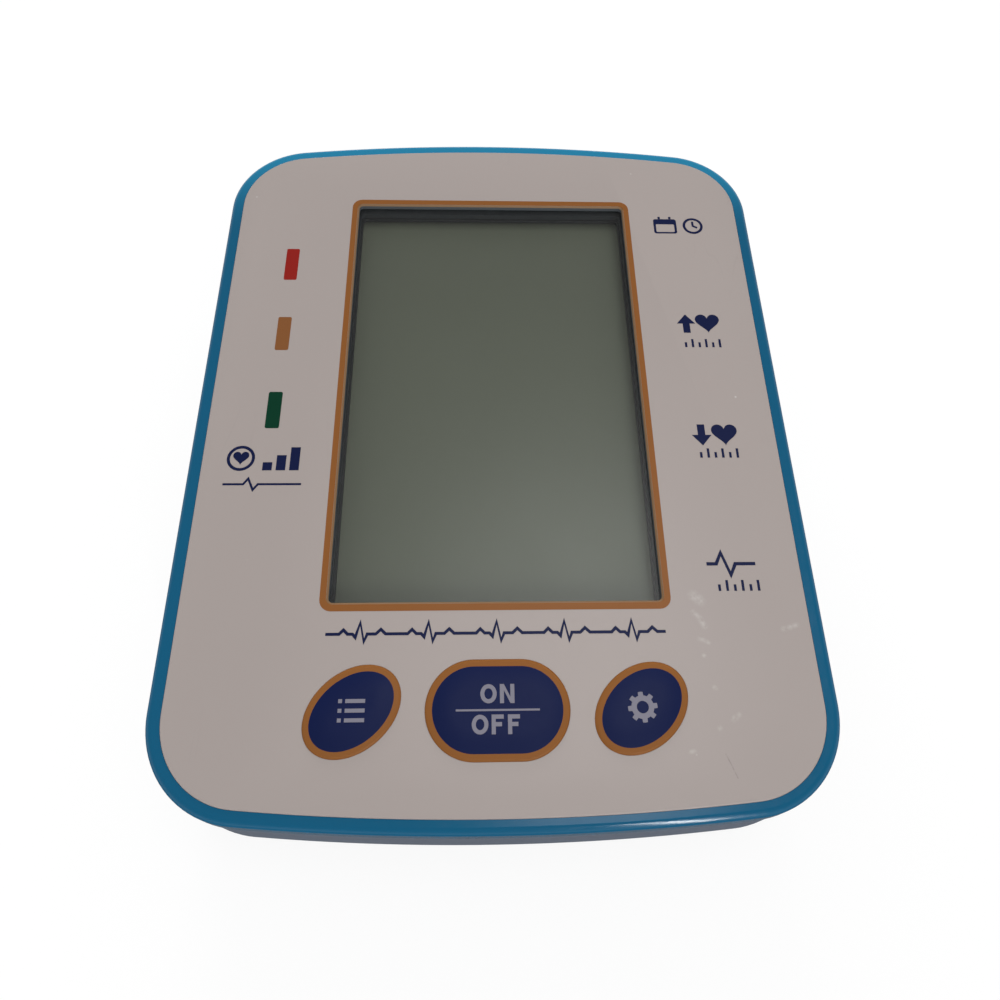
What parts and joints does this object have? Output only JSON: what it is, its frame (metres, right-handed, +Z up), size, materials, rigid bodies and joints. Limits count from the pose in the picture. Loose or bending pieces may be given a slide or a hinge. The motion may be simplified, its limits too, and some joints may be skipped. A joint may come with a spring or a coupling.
{
  "type": "blood pressure monitor",
  "caption": "Wedge-shaped upper-arm blood pressure monitor with a tall display, travelling keys, a battery bay under a hinged door, a cuff socket and an adapter jack.",
  "frame": {"origin": "on the table under the middle of the casing", "axes": "+X to the user's right, +Y away from the user, +Z up"},
  "size_m": [0.1098, 0.1379, 0.046],
  "materials": {
    "blue_plastic": "glossy blue moulding",
    "grey_plastic": "fine matt light grey moulding",
    "white_panel": "glossy printed sheet",
    "clear_pane": "clear acrylic",
    "black_plastic": "matt black moulding",
    "display_glass": "grey-green liquid crystal cell, polished",
    "elastomer": "soft striped elastomer",
    "foam": "fine open foam",
    "circuit_board": "green solder mask",
    "navy_key": "navy key with an orange edge, satin gloss",
    "steel": "zinc plated",
    "motor_can": "drawn and plated can",
    "contact_nickel": "nickel plated spring steel",
    "cell_sleeve": "plain printed sleeve on a metal can",
    "cream_plastic": "natural nylon",
    "silicone": "milky silicone",
    "foot_rubber": "matt black rubber"
  },
  "bodies": {
    "casing": {"upper_housing": "blue_plastic", "lower_housing": "grey_plastic", "face_panel": "white_panel", "display_window": "clear_pane", "display_frame": "black_plastic", "display_glass": "display_glass", "display_connector": "elastomer", "display_backing_pad": "foam", "main_circuit_board": "circuit_board", "board_screw_1": "steel", "board_screw_2": "steel", "board_screw_3": "steel", "board_screw_4": "steel", "memory_switch": "black_plastic", "start_stop_switch": "black_plastic", "set_switch": "black_plastic", "processor_chip": "black_plastic", "buzzer": "black_plastic", "pressure_sensor": "cream_plastic", "cell_1": "cell_sleeve", "cell_2": "cell_sleeve", "cell_3": "cell_sleeve", "cell_4": "cell_sleeve", "contact_lead_minus": "contact_nickel", "contact_bridge_near": "contact_nickel", "contact_lead_plus": "contact_nickel", "contact_bridge_far_left": "contact_nickel", "contact_bridge_far_right": "contact_nickel", "foot_1": "foot_rubber", "foot_2": "foot_rubber", "foot_3": "foot_rubber", "foot_4": "foot_rubber", "casing_screw_1": "steel", "casing_screw_2": "steel", "casing_screw_3": "steel", "casing_screw_4": "steel", "pump_head": "cream_plastic", "pump_motor": "motor_can", "pump_sleeve": "foam", "release_valve": "steel", "air_manifold": "cream_plastic", "cuff_socket": "black_plastic", "adapter_jack": "black_plastic", "adapter_jack_pin": "contact_nickel", "pump_hose": "silicone", "socket_hose": "silicone", "valve_hose": "silicone", "sensor_hose": "silicone"},
    "memory_button": {"memory_key": "navy_key", "memory_plunger": "cream_plastic"},
    "start_stop_button": {"start_stop_key": "navy_key", "start_stop_plunger": "cream_plastic"},
    "set_button": {"set_key": "navy_key", "set_plunger": "cream_plastic"},
    "door": {"battery_door": "grey_plastic"}
  },
  "joints": [
    {"name": "memory_press", "type": "slide", "parent": "casing", "child": "memory_button", "axis": [0, 0.1736, -0.9848], "range_m": [0, 0.0006], "stiffness_N_per_m": 1500, "springref_m": -0.0003},
    {"name": "start_stop_press", "type": "slide", "parent": "casing", "child": "start_stop_button", "axis": [0, 0.1736, -0.9848], "range_m": [0, 0.0006], "stiffness_N_per_m": 1500, "springref_m": -0.0003},
    {"name": "set_press", "type": "slide", "parent": "casing", "child": "set_button", "axis": [0, 0.1736, -0.9848], "range_m": [0, 0.0006], "stiffness_N_per_m": 1500, "springref_m": -0.0003},
    {"name": "door_hinge", "type": "hinge", "parent": "casing", "child": "door", "pos_m": [0.0165, 0.0512, 0.001], "axis": [1, 0, 0], "range_deg": [0, 70]}
  ]
}
